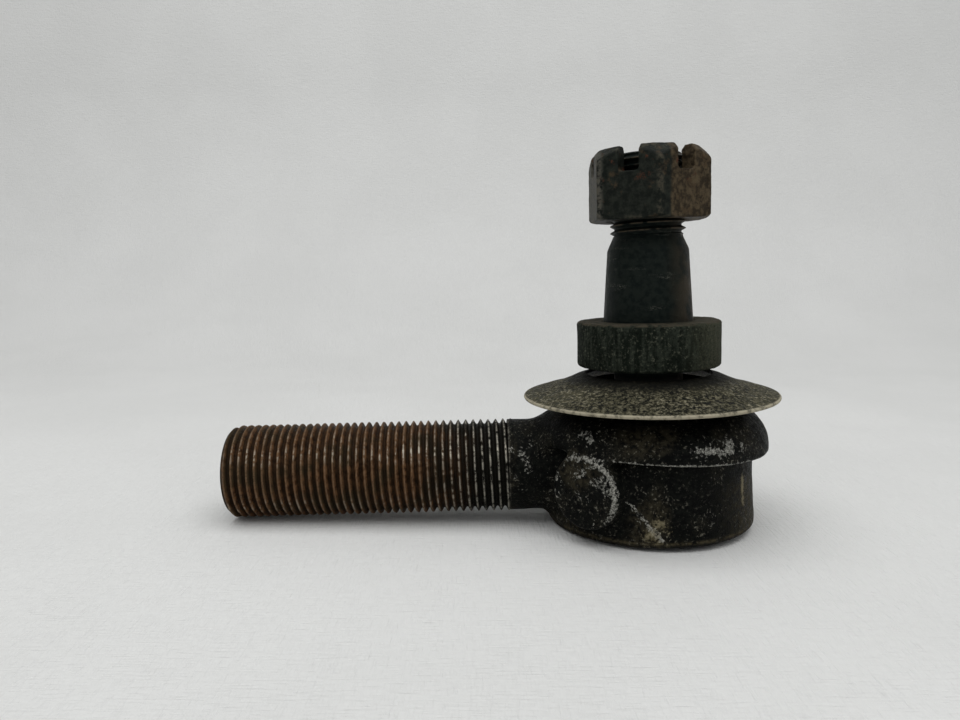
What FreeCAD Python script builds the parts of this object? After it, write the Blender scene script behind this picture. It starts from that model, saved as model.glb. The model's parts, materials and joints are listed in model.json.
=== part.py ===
import FreeCAD, Part

import math
import operator
import os

import Sketcher
from FreeCAD import Placement, Rotation, Vector

# Tie rod end: a forged socket on a threaded shank holds a spring-loaded ball stud.
# The origin is the centre of the ball. +Z runs up the stud and the shank points along -X.
# Lengths are millimetres and angles are degrees. Heights are measured from the ball centre.

SIZES = [
    ("shank_dia", 22.1, "crest diameter of the 7/8-14 UNF shank thread"),
    ("shank_pitch", 1.8143, "pitch of the shank thread"),
    ("shank_grooves", 37, "number of thread grooves on the shank"),
    ("shank_run_out", 0.54, "plain crest after the last groove"),
    ("shank_neck_dia", 21.7, "plain neck between the thread and the socket"),
    ("shank_flare", 2.4, "growth of the neck's radius where it meets the socket"),
    ("shank_flare_end", 25.2, "stud axis to the end of the flare"),
    ("shank_flare_length", 3.4, "length of the flare"),
    ("shank_length", 100.7, "shank tip to stud axis"),
    ("shank_drop", 5.5, "ball centre above the shank axis"),
    ("shank_chamfer", 1.2, "chamfer on the shank tip"),
    ("flange_dia", 54.4, "widest part of the socket"),
    ("flange_round", 9.0, "radius of the flange's rounded shoulder"),
    ("flange_level", -0.26, "height where the flange is widest"),
    ("flange_foot", -1.3, "underside of the flange"),
    ("flange_foot_round", 2.4, "radius under the flange"),
    ("shoulder_dia", 38.0, "where the rounded shoulder ends"),
    ("shoulder_hollow", 2.7, "radius of the hollow between the shoulder and the dome"),
    ("dome_foot_dia", 35.2, "where the dome begins"),
    ("barrel_top_dia", 47.3, "socket barrel below the flange"),
    ("barrel_foot_dia", 48.6, "socket barrel just above its foot"),
    ("base_level", -18.9, "underside of the socket"),
    ("base_round", 1.4, "radius on the foot of the barrel"),
    ("dome_dia", 40.4, "domed top of the socket, centred on the ball"),
    ("mouth_dia", 28.6, "mouth of the socket, outside"),
    ("boss_dia", 16.6, "round forged pad on the side"),
    ("boss_reach", 28.2, "stud axis to the face of the pad"),
    ("boss_level", -6.7, "height of the middle of the pad"),
    ("boss_turn", 41.0, "pad turned from the front towards the shank"),
    ("bore_dia", 37.4, "bore that holds the seats"),
    ("bore_top", 4.0, "shoulder above the upper seat"),
    ("pocket_dia", 34.0, "domed inside of the socket, above the shoulder"),
    ("lip_thick", 0.9, "rolled lip that keeps the end plate in"),
    ("lip_dia", 35.6, "opening inside the rolled lip"),
    ("plate_dia", 39.2, "end plate"),
    ("plate_thick", 1.6, "end plate thickness"),
    ("plate_dish", 0.5, "depth of the dish in the end plate"),
    ("plate_dish_dia", 22.0, "flat bottom of the dish in the end plate"),
    ("plate_dish_edge_dia", 26.4, "edge of the dish in the end plate"),
    ("ball_dia", 29.0, "ball of the stud"),
    ("ball_flat", 10.5, "ball centre to the flat under the ball"),
    ("ball_gap", 0.06, "running gap between the ball and its seats"),
    ("seat_mouth", 50.0, "edge of the upper seat, measured from the stud axis"),
    ("seat_foot", 42.0, "edge of the lower seat, measured from straight down"),
    ("seat_split", 2.0, "lower seat's top edge below the ball centre"),
    ("seat_rise", 0.5, "upper seat's bottom edge above the ball centre"),
    ("seat_floor", 11.4, "underside of the lower seat below the ball centre"),
    ("slide_gap", 0.08, "radial gap of the sliding pieces in the bore"),
    ("washer_thick", 1.0, "pressure plate thickness"),
    ("washer_hole_dia", 19.0, "hole in the pressure plate"),
    ("spring_wire", 1.6, "spring wire diameter"),
    ("spring_big_dia", 31.0, "largest coil, wire centre to wire centre"),
    ("spring_small_dia", 22.0, "smallest coil, wire centre to wire centre"),
    ("spring_turns", 2.25, "turns of the conical spring"),
    ("neck_dia", 16.0, "stud neck above the ball"),
    ("neck_top", 17.6, "top of the straight neck"),
    ("neck_flare", 3.96, "radius of the hollow between the neck and the big end"),
    ("taper_foot", 20.9, "big end of the taper"),
    ("taper_foot_dia", 21.7, "diameter at the big end"),
    ("taper_edge", 0.3, "chamfer under the big end"),
    ("taper_top", 44.7, "small end of the taper"),
    ("taper_top_dia", 18.75, "diameter at the small end"),
    ("relief_dia", 16.1, "relief between the taper and the thread"),
    ("relief_level", 47.8, "bottom of the thread relief"),
    ("relief_top", 48.1, "where the stud thread begins"),
    ("stud_thread_dia", 17.3, "crest diameter of the 11/16-16 stud thread"),
    ("stud_root_depth", 0.97, "depth of the stud thread"),
    ("stud_pitch", 1.5875, "pitch of the stud thread"),
    ("stud_grooves", 11, "number of thread grooves on the stud"),
    ("stud_groove_level", 49.45, "height of the lowest thread groove on the stud"),
    ("stud_top", 66.5, "end of the stud"),
    ("stud_chamfer", 1.1, "chamfer on the end of the stud"),
    ("centre_drill_dia", 3.6, "centre drilled in the end of the stud"),
    ("pin_hole_dia", 3.6, "cross hole for a split pin"),
    ("pin_hole_level", 64.0, "height of the cross hole"),
    ("nut_flats", 25.4, "nut across flats"),
    ("nut_height", 16.1, "nut height"),
    ("nut_level", 51.4, "underside of the nut"),
    ("nut_chamfer", 2.2, "height of the chamfer on the nut's top corners"),
    ("nut_chamfer_foot", 0.9, "height of the chamfer on the nut's bottom corners"),
    ("nut_chamfer_inset", 0.6, "top chamfer's inner edge inside the flats"),
    ("nut_slot_width", 4.6, "slot for a split pin"),
    ("nut_slot_depth", 5.65, "slot depth"),
    ("nut_slot_round", 0.9, "radius in the corners of the slot's floor"),
    ("nut_grooves", 11, "number of thread grooves in the nut"),
    ("nut_ridge_dia", 15.9, "crests of the nut's thread"),
    ("nut_groove_dia", 17.6, "roots of the nut's thread"),
    ("nut_lead", 1.0, "chamfer at each end of the nut's thread"),
    ("nut_ridge_width", 0.46, "width of the nut's thread at its crest"),
    ("clock_angle", -0.8, "turn of the nut and stud about the stud axis"),
    ("ring_dia", 33.5, "rubber ring outside"),
    ("ring_hole_foot_dia", 22.2, "rubber ring's hole at the bottom"),
    ("ring_hole_top_dia", 20.9, "rubber ring's hole at the top"),
    ("ring_height", 10.7, "rubber ring height"),
    ("ring_level", 17.8, "underside of the rubber ring"),
    ("ring_chamfer", 0.7, "chamfer on the ring's edges"),
    ("cover_dia", 59.3, "dust cover outside"),
    ("cover_sheet", 0.9, "dust cover sheet thickness"),
    ("cover_level", 10.4, "rim of the dust cover"),
    ("cover_hole_dia", 29.4, "hole in the dust cover"),
    ("cover_rim_width", 4.8, "shallow outer band of the cover"),
    ("cover_rim_rise", 0.95, "rise over the shallow band"),
    ("cover_crown_dia", 33.0, "flatter crown of the cover"),
    ("cover_cone_rise", 3.3, "rise over the steeper cone"),
    ("cover_crown_rise", 0.6, "rise from the crown's edge to the hole"),
    ("cover_cone_round", 66.0, "hollow of the steeper cone"),
    ("cover_crown_round", 24.75, "bulge of the crown"),
    ("cover_bend_inset", 0.27, "inside of each bend, nearer the axis than the outside"),
    ("cover_edge_inset", 0.22, "slant of the sheared edge"),
]

THREAD_CREST = 0.125  # width of a crest, as a share of the pitch
THREAD_DEPTH = 0.6134  # depth of an outside thread, as a share of the pitch
GROOVE_OVERSHOOT = 0.1  # how far a groove's outline runs past the crest, as a share of the depth
THREAD_FLANK = math.radians(30.0)  # half of the 60 degree thread angle
FACE_MARGIN = 0.2  # how far a cutting outline runs past the face it trims
PRESS_FIT_GAP = 0.02  # round the pieces that are pressed or rolled in
SPRING_END_GAP = 0.03  # between the spring and the plate at each end
WASHER_GAP = 0.05  # between the pressure plate and the seat that turns on it


class Size:
    """A number, with the expression that gives it from the sheet."""

    def __init__(self, value, text):
        self.value = value
        self.text = text

    def __add__(self, other):
        return joined(self, "+", other, operator.add)

    def __sub__(self, other):
        return joined(self, "-", other, operator.sub)

    def __mul__(self, other):
        return joined(self, "*", other, operator.mul)

    def __truediv__(self, other):
        return joined(self, "/", other, operator.truediv)

    def __neg__(self):
        return Size(-self.value, f"(-1 * {self.text})")


def as_size(number):
    """A plain number as a Size; a Size stays as it is."""
    if isinstance(number, Size):
        return number
    return Size(float(number), f"({float(number):.6f})")


def joined(first, sign, second, work):
    """Two sizes put together by one arithmetic sign."""
    first = as_size(first)
    second = as_size(second)
    return Size(work(first.value, second.value), f"({first.text} {sign} {second.text})")


def root(size):
    return Size(math.sqrt(size.value), f"sqrt({size.text})")


def sine(angle):
    return Size(math.sin(math.radians(angle.value)), f"sin({angle.text} * 1 deg)")


def cosine(angle):
    return Size(math.cos(math.radians(angle.value)), f"cos({angle.text} * 1 deg)")


def beside(radius, across):
    """Height of a circle of that radius about the origin, at a distance across."""
    return root(radius * radius - across * across)


def make_sheet(doc):
    sheet = doc.addObject("Spreadsheet::Sheet", "Sizes")
    for row, (name, value, note) in enumerate(SIZES, start=1):
        sheet.set(f"A{row}", name)
        sheet.set(f"B{row}", str(value))
        sheet.setAlias(f"B{row}", name)
        sheet.set(f"C{row}", note)
    doc.recompute()
    return {name: Size(float(value), f"Sizes.{name}") for name, value, _ in SIZES}


# Drawing


def new_body(doc, name):
    body = doc.addObject("PartDesign::Body", name)
    body.Label = name
    return body


def plane_of(body, role):
    """One of the body's own origin planes."""
    return next(item for item in body.Origin.OriginFeatures if item.Role == role)


def new_sketch(body, name, plane):
    sketch = body.newObject("Sketcher::SketchObject", name)
    sketch.AttachmentSupport = (plane_of(body, plane), [""])
    sketch.MapMode = "FlatFace"
    return sketch


def arc_between(start, end, radius):
    """An arc of a signed radius: its centre is on the left of the chord when positive."""
    chord = end - start
    half = chord.Length / 2
    side = Vector(-chord.y, chord.x, 0).normalize()
    reach = math.sqrt(radius * radius - half * half)
    centre = (start + end) / 2 + side * math.copysign(reach, radius)
    first, last = (start, end) if radius > 0 else (end, start)
    angles = [math.atan2(point.y - centre.y, point.x - centre.x) for point in (first, last)]
    circle = Part.Circle(centre, Vector(0, 0, 1), abs(radius))
    return Part.ArcOfCircle(circle, angles[0], angles[1])


def hold(sketch, kind, edge, end, size):
    """Hold one coordinate of an edge's end to the sheet, or to the axis where it is zero."""
    if abs(size.value) < 1e-9:
        axis = -2 if kind == "DistanceX" else -1
        sketch.addConstraint(Sketcher.Constraint("PointOnObject", edge, end, axis))
        return
    index = sketch.addConstraint(Sketcher.Constraint(kind, edge, end, size.value))
    sketch.setExpression(f"Constraints[{index}]", size.text)


def outline(body, name, points, plane="XZ_Plane", axis_level=None):
    """A closed outline. A point is (across, up), with a signed radius where an arc follows it.

    With axis_level, a construction line at that height is the sketch's turning axis.
    """
    sketch = new_sketch(body, name, plane)
    points = [tuple(as_size(number) for number in point) for point in points]
    places = [Vector(point[0].value, point[1].value, 0) for point in points]
    ends = []
    for index, point in enumerate(points):
        start = places[index]
        end = places[(index + 1) % len(places)]
        radius = point[2].value if len(point) > 2 else 0.0
        if radius:
            edge = sketch.addGeometry(arc_between(start, end, radius), False)
        else:
            edge = sketch.addGeometry(Part.LineSegment(start, end), False)
        ends.append((edge, 2, 1) if radius < 0 else (edge, 1, 2))
    for index, (edge, first, _) in enumerate(ends):
        before, _, last = ends[index - 1]
        sketch.addConstraint(Sketcher.Constraint("Coincident", before, last, edge, first))
        hold(sketch, "DistanceX", edge, first, points[index][0])
        hold(sketch, "DistanceY", edge, first, points[index][1])
        if len(points[index]) > 2:
            size = points[index][2]
            sign = "" if size.value > 0 else "-1 * "
            item = sketch.addConstraint(Sketcher.Constraint("Radius", edge, abs(size.value)))
            sketch.setExpression(f"Constraints[{item}]", f"{sign}{size.text}")
    if axis_level is not None:
        level = axis_level.value
        line = sketch.addGeometry(Part.LineSegment(Vector(-1, level, 0), Vector(1, level, 0)), True)
        sketch.addConstraint(Sketcher.Constraint("Horizontal", line))
        hold(sketch, "DistanceX", line, 1, as_size(-1))
        hold(sketch, "DistanceX", line, 2, as_size(1))
        hold(sketch, "DistanceY", line, 1, axis_level)
    return sketch


def turned(body, name, points, cut=False, axis_level=None):
    """Turn an outline about the upright axis, or about a level axis along X."""
    sketch = outline(body, f"{name}_outline", points, axis_level=axis_level)
    kind = "PartDesign::Groove" if cut else "PartDesign::Revolution"
    feature = body.newObject(kind, name)
    feature.Profile = sketch
    feature.ReferenceAxis = (sketch, ["V_Axis" if axis_level is None else "Axis0"])
    feature.Angle = 360
    body.Tip = feature
    return feature


def repeated(body, feature, name, direction, spacing, count):
    """Repeat a feature along one of its sketch's axes."""
    pattern = body.newObject("PartDesign::LinearPattern", name)
    pattern.Originals = [feature]
    pattern.Direction = (feature.Profile[0], [direction])
    pattern.Length = spacing.value * (count.value - 1)
    pattern.Occurrences = int(count.value)
    pattern.setExpression("Length", f"{spacing.text} * ({count.text} - 1)")
    pattern.setExpression("Occurrences", count.text)
    body.Tip = pattern
    return pattern


def groove_section(crest, depth, pitch):
    """Half widths of a thread groove at its mouth, a little above the crest, and at its root."""
    mouth = pitch * ((1 - THREAD_CREST) / 2)
    root_half = mouth - depth * math.tan(THREAD_FLANK)
    above = depth * GROOVE_OVERSHOOT
    return mouth + above * math.tan(THREAD_FLANK), root_half, crest + above, crest - depth


def place(item, level, turn=None):
    """Lift a sub-part to its height in the assembly, and turn it about the stud axis."""
    if turn is not None:
        item.Placement = Placement(Vector(0, 0, 0), Rotation(Vector(0, 0, 1), turn.value))
    if level is not None:
        item.setExpression(".Placement.Base.z", level.text)


# Sub-parts


def make_housing(doc, s):
    """Forged socket and threaded shank in one piece, with a round pad on the side."""
    body = new_body(doc, "housing")
    base = s["base_level"]
    foot = s["barrel_foot_dia"] / 2
    dome = s["dome_dia"] / 2
    mouth = s["mouth_dia"] / 2
    shoulder = s["shoulder_dia"] / 2
    past_centre = shoulder - s["flange_dia"] / 2 + s["flange_round"]
    shoulder_level = s["flange_level"] + beside(s["flange_round"], past_centre)
    dome_foot = s["dome_foot_dia"] / 2
    turned(body, "socket", [
        (0, base),
        (foot - s["base_round"], base, s["base_round"]),
        (foot, base + s["base_round"]),
        (s["barrel_top_dia"] / 2, s["flange_foot"], s["flange_foot_round"]),
        (s["flange_dia"] / 2, s["flange_level"], s["flange_round"]),
        (shoulder, shoulder_level, -s["shoulder_hollow"]),
        (dome_foot, beside(dome, dome_foot), dome),
        (mouth, beside(dome, mouth)),
        (0, beside(dome, mouth)),
    ])

    axis = -s["shank_drop"]
    radius = s["shank_dia"] / 2
    neck = s["shank_neck_dia"] / 2
    tip = -s["shank_length"]
    inside = -(s["bore_dia"] / 2)
    flare_end = -s["shank_flare_end"]
    thread_end = tip + s["shank_pitch"] * (s["shank_grooves"] + 1) + s["shank_run_out"]
    turned(body, "shank", [
        (tip, axis),
        (inside, axis),
        (inside, axis + neck + s["shank_flare"]),
        (flare_end, axis + neck + s["shank_flare"], -s["shank_flare_length"]),
        (flare_end - s["shank_flare_length"], axis + neck),
        (thread_end, axis + neck),
        (thread_end - (radius - neck), axis + radius),
        (tip + s["shank_chamfer"], axis + radius),
        (tip, axis + radius - s["shank_chamfer"]),
    ], axis_level=axis)

    circle = new_sketch(body, "pad_outline", "XZ_Plane")
    circle.AttachmentOffset = Placement(
        Vector(0, 0, 0), Rotation(Vector(0, 1, 0), -s["boss_turn"].value)
    )
    middle = Vector(0, s["boss_level"].value, 0)
    edge = circle.addGeometry(Part.Circle(middle, Vector(0, 0, 1), s["boss_dia"].value / 2), False)
    hold(circle, "DistanceX", edge, 3, as_size(0))
    hold(circle, "DistanceY", edge, 3, s["boss_level"])
    item = circle.addConstraint(Sketcher.Constraint("Diameter", edge, s["boss_dia"].value))
    circle.setExpression(f"Constraints[{item}]", s["boss_dia"].text)
    pad = body.newObject("PartDesign::Pad", "pad")
    pad.Profile = circle
    pad.setExpression("Length", s["boss_reach"].text)
    body.Tip = pad

    depth = s["shank_pitch"] * THREAD_DEPTH
    wide, narrow, high, low = groove_section(radius, depth, s["shank_pitch"])
    first = tip + s["shank_pitch"] * 1.5
    groove = turned(body, "shank_groove", [
        (first - narrow, axis + low),
        (first + narrow, axis + low),
        (first + wide, axis + high),
        (first - wide, axis + high),
    ], cut=True, axis_level=axis)
    repeated(body, groove, "shank_thread", "H_Axis", s["shank_pitch"], s["shank_grooves"])

    bore = s["bore_dia"] / 2
    pocket = s["pocket_dia"] / 2
    plate_floor = base + s["lip_thick"]
    plate_top = plate_floor + s["plate_thick"]
    inner_mouth = pocket * sine(s["seat_mouth"])
    pocket_foot = beside(pocket, s["bore_top"])
    below = base - FACE_MARGIN
    turned(body, "cavity", [
        (0, below),
        (s["lip_dia"] / 2, below),
        (s["lip_dia"] / 2, plate_floor),
        (s["plate_dia"] / 2, plate_floor),
        (s["plate_dia"] / 2, plate_top),
        (bore, plate_top),
        (bore, s["bore_top"]),
        (pocket_foot, s["bore_top"], pocket),
        (inner_mouth, beside(pocket, inner_mouth)),
        (mouth, beside(dome, mouth) + PRESS_FIT_GAP / 2),
        (mouth, s["dome_dia"] / 2),
        (0, s["dome_dia"] / 2),
    ], cut=True)
    return body


def make_ball_stud(doc, s):
    """Ball, neck, taper and thread of the stud, with its cross hole."""
    body = new_body(doc, "ball_stud")
    ball = s["ball_dia"] / 2
    neck = s["neck_dia"] / 2
    relief = s["relief_dia"] / 2
    thread = s["stud_thread_dia"] / 2
    relief_top = s["relief_top"]
    turned(body, "stud", [
        (0, -s["ball_flat"]),
        (beside(ball, s["ball_flat"]), -s["ball_flat"], ball),
        (neck, beside(ball, neck)),
        (neck, s["neck_top"], -s["neck_flare"]),
        (s["taper_foot_dia"] / 2 - s["taper_edge"], s["taper_foot"] - s["taper_edge"]),
        (s["taper_foot_dia"] / 2, s["taper_foot"]),
        (s["taper_top_dia"] / 2, s["taper_top"]),
        (relief, s["relief_level"]),
        (relief, relief_top),
        (thread, relief_top + (thread - relief)),
        (thread, s["stud_top"] - s["stud_chamfer"]),
        (thread - s["stud_chamfer"], s["stud_top"]),
        (s["centre_drill_dia"] / 2, s["stud_top"]),
        (0, s["stud_top"] - s["centre_drill_dia"] / 2),
    ])

    pitch = s["stud_pitch"]
    wide, narrow, high, low = groove_section(thread, s["stud_root_depth"], pitch)
    first = s["stud_groove_level"]
    groove = turned(body, "stud_groove", [
        (low, first - narrow),
        (high, first - wide),
        (high, first + wide),
        (low, first + narrow),
    ], cut=True)
    repeated(body, groove, "stud_thread", "V_Axis", pitch, s["stud_grooves"])

    cross = new_sketch(body, "pin_hole_outline", "YZ_Plane")
    middle = Vector(0, s["pin_hole_level"].value, 0)
    radius = s["pin_hole_dia"].value / 2
    edge = cross.addGeometry(Part.Circle(middle, Vector(0, 0, 1), radius), False)
    hold(cross, "DistanceX", edge, 3, as_size(0))
    hold(cross, "DistanceY", edge, 3, s["pin_hole_level"])
    item = cross.addConstraint(Sketcher.Constraint("Diameter", edge, 2 * radius))
    cross.setExpression(f"Constraints[{item}]", s["pin_hole_dia"].text)
    hole = body.newObject("PartDesign::Pocket", "pin_hole")
    hole.Profile = cross
    hole.Midplane = True
    hole.setExpression("Length", (s["stud_thread_dia"] + 2).text)
    body.Tip = hole
    place(body, None, s["clock_angle"])
    return body


def make_castle_nut(doc, s):
    """Slotted hexagon nut. Its own zero is its underside."""
    body = new_body(doc, "castle_nut")
    corner = s["nut_flats"] / 2 / cosine(as_size(30))
    points = []
    for step in range(6):
        angle = as_size(60 * step - 90)
        points.append((corner * cosine(angle), corner * sine(angle)))
    pad = body.newObject("PartDesign::Pad", "hexagon")
    pad.Profile = outline(body, "hexagon_outline", points, plane="XY_Plane")
    pad.setExpression("Length", s["nut_height"].text)
    body.Tip = pad

    flat = s["nut_flats"] / 2
    height = s["nut_height"]
    outside = corner + 1
    slope = s["nut_chamfer"] / (corner - flat)
    inset = s["nut_chamfer_inset"]
    turned(body, "top_chamfer", [
        (flat - inset, height + slope * inset),
        (outside, height + slope * inset),
        (outside, height - s["nut_chamfer"] - slope),
        (flat - inset, height),
    ], cut=True)
    turned(body, "foot_chamfer", [
        (flat, -FACE_MARGIN),
        (flat, 0),
        (outside, s["nut_chamfer_foot"]),
        (outside, -FACE_MARGIN),
    ], cut=True)

    crest = s["nut_ridge_dia"] / 2
    lead = s["nut_lead"]
    turned(body, "bore", [
        (0, -FACE_MARGIN),
        (crest + lead, -FACE_MARGIN),
        (crest + lead, 0),
        (crest, lead),
        (crest, height - lead),
        (crest + lead, height),
        (crest + lead, height + FACE_MARGIN),
        (0, height + FACE_MARGIN),
    ], cut=True)
    pitch = s["stud_pitch"]
    deep = s["nut_groove_dia"] / 2
    mouth = (pitch - s["nut_ridge_width"]) / 2
    narrow = mouth - (deep - crest) * math.tan(THREAD_FLANK)
    wide = mouth + FACE_MARGIN * math.tan(THREAD_FLANK)
    first = s["stud_groove_level"] + pitch * 1.5 - s["nut_level"]
    groove = turned(body, "nut_groove", [
        (crest - FACE_MARGIN, first - wide),
        (deep, first - narrow),
        (deep, first + narrow),
        (crest - FACE_MARGIN, first + wide),
    ], cut=True)
    repeated(body, groove, "nut_thread", "V_Axis", pitch, s["nut_grooves"])

    half = s["nut_slot_width"] / 2
    floor = height - s["nut_slot_depth"]
    corner_round = s["nut_slot_round"]
    slot = body.newObject("PartDesign::Pocket", "slot")
    slot.Profile = outline(body, "slot_outline", [
        (-half, floor + corner_round, corner_round),
        (corner_round - half, floor),
        (half - corner_round, floor, corner_round),
        (half, floor + corner_round),
        (half, height + 1),
        (-half, height + 1),
    ], plane="YZ_Plane")
    slot.Midplane = True
    slot.setExpression("Length", (corner * 2 + 2).text)
    body.Tip = slot
    slots = body.newObject("PartDesign::PolarPattern", "slots")
    slots.Originals = [slot]
    slots.Axis = (slot.Profile[0], ["V_Axis"])
    slots.Angle = 120
    slots.Occurrences = 3
    body.Tip = slots
    place(body, s["nut_level"], s["clock_angle"])
    return body


def make_rubber_ring(doc, s):
    """Thick rubber ring round the big end of the taper. Its own zero is its underside."""
    body = new_body(doc, "rubber_ring")
    foot = s["ring_hole_foot_dia"] / 2
    top = s["ring_hole_top_dia"] / 2
    outer = s["ring_dia"] / 2
    edge = s["ring_chamfer"]
    turned(body, "ring", [
        (foot, 0),
        (outer - edge, 0),
        (outer, edge),
        (outer, s["ring_height"] - edge),
        (outer - edge, s["ring_height"]),
        (top, s["ring_height"]),
    ])
    place(body, s["ring_level"])
    return body


def make_dust_cover(doc, s):
    """Dished sheet-steel cover over the socket's mouth. Its own zero is its rim."""
    body = new_body(doc, "dust_cover")
    sheet = s["cover_sheet"]
    rim = s["cover_dia"] / 2
    hole = s["cover_hole_dia"] / 2
    crown = s["cover_crown_dia"] / 2
    bend = rim - s["cover_rim_width"]
    low = s["cover_rim_rise"]
    high = low + s["cover_cone_rise"]
    top = high + s["cover_crown_rise"]
    turned(body, "cover", [
        (rim - s["cover_edge_inset"], 0),
        (rim, sheet),
        (bend, low + sheet, -s["cover_cone_round"]),
        (crown, high + sheet, s["cover_crown_round"]),
        (hole, top + sheet),
        (hole, top, -s["cover_crown_round"]),
        (crown - s["cover_bend_inset"], high, s["cover_cone_round"]),
        (bend - s["cover_bend_inset"], low),
    ])
    place(body, s["cover_level"])
    return body


def make_upper_seat(doc, s):
    """Hardened shell pressed in over the ball."""
    body = new_body(doc, "upper_ball_seat")
    inner = s["ball_dia"] / 2 + s["ball_gap"]
    outer = s["pocket_dia"] / 2 - PRESS_FIT_GAP
    bore = s["bore_dia"] / 2 - PRESS_FIT_GAP
    top = s["bore_top"] - PRESS_FIT_GAP
    mouth_inner = inner * sine(s["seat_mouth"])
    mouth_outer = outer * sine(s["seat_mouth"])
    turned(body, "shell", [
        (beside(inner, s["seat_rise"]), s["seat_rise"]),
        (bore, s["seat_rise"]),
        (bore, top),
        (beside(outer, top), top, outer),
        (mouth_outer, beside(outer, mouth_outer)),
        (mouth_inner, beside(inner, mouth_inner), -inner),
    ])
    return body


def make_lower_seat(doc, s):
    """Cup under the ball, which slides and turns in the bore."""
    body = new_body(doc, "lower_ball_seat")
    inner = s["ball_dia"] / 2 + s["ball_gap"]
    outer = s["bore_dia"] / 2 - s["slide_gap"]
    split = s["seat_split"]
    foot = inner * sine(s["seat_foot"])
    turned(body, "cup", [
        (foot, -s["seat_floor"]),
        (outer - 1, -s["seat_floor"]),
        (outer, -s["seat_floor"] + 1),
        (outer, -split),
        (beside(inner, split), -split, -inner),
        (foot, -(beside(inner, foot))),
    ])
    return body


def spring_floor(s):
    return s["base_level"] + s["lip_thick"] + s["plate_thick"]


def washer_level(s):
    return -s["seat_floor"] - WASHER_GAP - s["washer_thick"]


def make_pressure_plate(doc, s):
    """Flat ring between the spring and the lower seat. Its own zero is its underside."""
    body = new_body(doc, "pressure_plate")
    turned(body, "ring", [
        (s["washer_hole_dia"] / 2, 0),
        (s["bore_dia"] / 2 - s["slide_gap"], 0),
        (s["bore_dia"] / 2 - s["slide_gap"], s["washer_thick"]),
        (s["washer_hole_dia"] / 2, s["washer_thick"]),
    ])
    place(body, washer_level(s))
    return body


def make_spring(doc, s):
    """Conical spring whose coils nest as it is pressed flat."""
    room = washer_level(s) - spring_floor(s)
    rise = room - s["spring_wire"] - SPRING_END_GAP * 2
    helix = doc.addObject("Part::Helix", "spring_line")
    helix.setExpression("Radius", (s["spring_big_dia"] / 2).text)
    helix.setExpression("Height", rise.text)
    helix.setExpression("Pitch", (rise / s["spring_turns"]).text)
    helix.SegmentLength = 1
    shrink = (s["spring_big_dia"] - s["spring_small_dia"]) / 2
    helix.Angle = -math.degrees(math.atan(shrink.value / rise.value))
    wire = doc.addObject("Part::Circle", "spring_wire_section")
    wire.setExpression("Radius", (s["spring_wire"] / 2).text)
    wire.Placement = Placement(
        Vector(s["spring_big_dia"].value / 2, 0, 0), Rotation(Vector(1, 0, 0), 90)
    )
    wire.setExpression(".Placement.Base.x", (s["spring_big_dia"] / 2).text)
    spring = doc.addObject("Part::Sweep", "spring")
    spring.Label = "spring"
    spring.Sections = [wire]
    spring.Spine = helix
    spring.Solid = True
    spring.Frenet = True
    place(spring, spring_floor(s) + s["spring_wire"] / 2 + SPRING_END_GAP)
    return spring


def make_end_plate(doc, s):
    """Dished disc that closes the bore, held by the rolled lip. Its own zero is its rim."""
    body = new_body(doc, "end_plate")
    outer = s["plate_dia"] / 2 - PRESS_FIT_GAP * 2
    thick = s["plate_thick"] - PRESS_FIT_GAP
    dish = s["plate_dish"]
    turned(body, "plate", [
        (0, dish),
        (s["plate_dish_dia"] / 2, dish),
        (s["plate_dish_edge_dia"] / 2, 0),
        (outer, 0),
        (outer, thick),
        (0, thick),
    ])
    place(body, s["base_level"] + s["lip_thick"] + PRESS_FIT_GAP / 2)
    return body


MAKERS = [
    make_housing,
    make_ball_stud,
    make_castle_nut,
    make_rubber_ring,
    make_dust_cover,
    make_upper_seat,
    make_lower_seat,
    make_pressure_plate,
    make_spring,
    make_end_plate,
]


def check(doc, parts):
    """Stop if anything failed to build."""
    for item in doc.Objects:
        for state in ("Invalid", "Error"):
            if state in item.State:
                raise RuntimeError(f"{item.Label} is {state}: {item.getStatusString()}")
    for item in parts:
        if item.Shape.isNull() or not item.Shape.isValid():
            raise RuntimeError(f"{item.Label} has no valid shape")
        if len(item.Shape.Solids) != 1:
            raise RuntimeError(f"{item.Label} has {len(item.Shape.Solids)} solids")


def main():
    doc = FreeCAD.newDocument("tie_rod_end")
    sizes = make_sheet(doc)
    parts = [maker(doc, sizes) for maker in MAKERS]
    doc.recompute()
    check(doc, parts)
    os.makedirs("parts", exist_ok=True)
    for item in parts:
        item.Shape.exportStep(f"parts/{item.Label}.step")
        box = item.Shape.BoundBox
        print(f"{item.Label}: {item.Shape.Volume:.0f} mm3, z {box.ZMin:.2f} to {box.ZMax:.2f}")


main()
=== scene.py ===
import json
import math

import bmesh
import bpy
import numpy as np
from mathutils import Matrix, Vector


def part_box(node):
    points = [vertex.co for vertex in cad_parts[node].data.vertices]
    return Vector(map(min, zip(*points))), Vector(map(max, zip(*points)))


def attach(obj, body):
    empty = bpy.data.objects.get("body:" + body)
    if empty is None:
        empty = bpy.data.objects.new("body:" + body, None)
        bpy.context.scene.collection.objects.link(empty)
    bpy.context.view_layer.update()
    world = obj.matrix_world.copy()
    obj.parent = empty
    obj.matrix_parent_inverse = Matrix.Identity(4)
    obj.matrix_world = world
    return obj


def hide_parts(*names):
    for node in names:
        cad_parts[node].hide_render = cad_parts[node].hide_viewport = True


# Tie rod end. Shapes are worked out in millimetres about the centre of the ball,
# with +Z up the stud and the shank along -X, and are turned into metres as meshes.

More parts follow.
